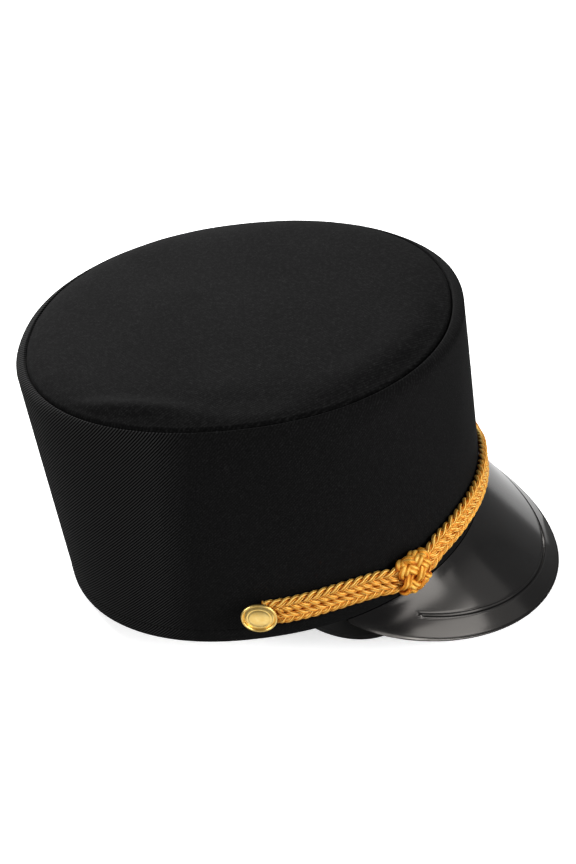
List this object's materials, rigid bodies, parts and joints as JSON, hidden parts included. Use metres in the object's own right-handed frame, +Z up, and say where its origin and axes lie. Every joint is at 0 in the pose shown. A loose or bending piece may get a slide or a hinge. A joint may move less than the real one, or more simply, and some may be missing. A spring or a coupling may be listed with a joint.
{
  "type": "conductor cap",
  "caption": "Uniform cap with a round flat-topped crown in black twill, a glossy peak, a double gold braid with slide knots and buttons, and a sweatband inside.",
  "frame": {"origin": "middle of the base of the cap's bounding box, on the surface the cap rests on", "axes": "+X towards the cap's front, +Y to the wearer's left, +Z up"},
  "size_m": [0.2554, 0.1856, 0.1491],
  "materials": {
    "twill": "black wool-blend twill with a fine diagonal rib, matt",
    "peak_vinyl": "black patent vinyl, glossy, with a pressed groove",
    "band_leather": "black leathercloth, low sheen",
    "gold_braid": "plaited gold-coloured cord with a soft sheen",
    "gilt": "polished gilt"
  },
  "bodies": {
    "root": {"crown_side": "twill", "crown_top": "twill", "peak": "peak_vinyl", "sweatband": "band_leather", "cord_upper": "gold_braid", "cord_lower": "gold_braid", "knot_right": "gold_braid", "knot_left": "gold_braid", "button_right": "gilt", "button_left": "gilt"}
  },
  "joints": []
}
